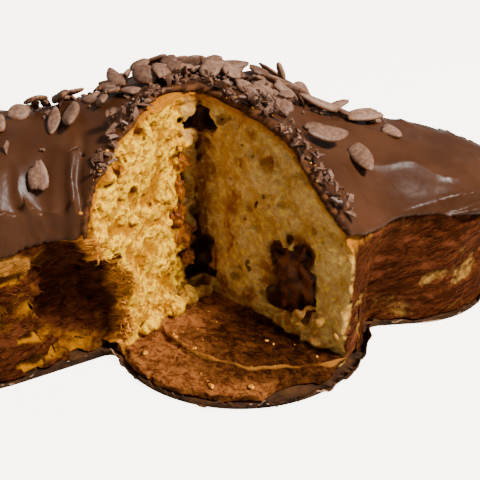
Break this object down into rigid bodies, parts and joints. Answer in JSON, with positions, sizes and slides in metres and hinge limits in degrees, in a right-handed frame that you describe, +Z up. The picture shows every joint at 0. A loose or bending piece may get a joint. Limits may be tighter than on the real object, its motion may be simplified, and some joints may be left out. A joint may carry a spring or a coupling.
{
  "type": "colomba cake",
  "caption": "Dove-shaped sweet yeast cake with a chocolate coating and chocolate flakes, on the floor of its paper case, with a wedge cut out of one wing.",
  "frame": {"origin": "middle of the underside of the paper case's box", "axes": "+X from the tail lobe to the head lobe, +Y from the cut wing to the whole wing, +Z up"},
  "size_m": [0.2874, 0.195, 0.1053],
  "materials": {
    "crumb": "soft open yeast crumb, yellow, with a brown baked crust",
    "chocolate": "satin milk chocolate with flakes",
    "paper": "matte brown baking paper, torn at the rim",
    "peel": "glossy candied fruit",
    "caramel": "glossy dark amber fruit filling"
  },
  "bodies": {
    "root": {"crumb": "crumb", "chocolate_coating": "chocolate", "paper_case": "paper", "candied_peel_1": "peel", "candied_peel_2": "peel", "candied_peel_3": "peel", "candied_peel_4": "peel", "candied_peel_5": "peel", "caramel_pocket": "caramel"}
  },
  "joints": []
}
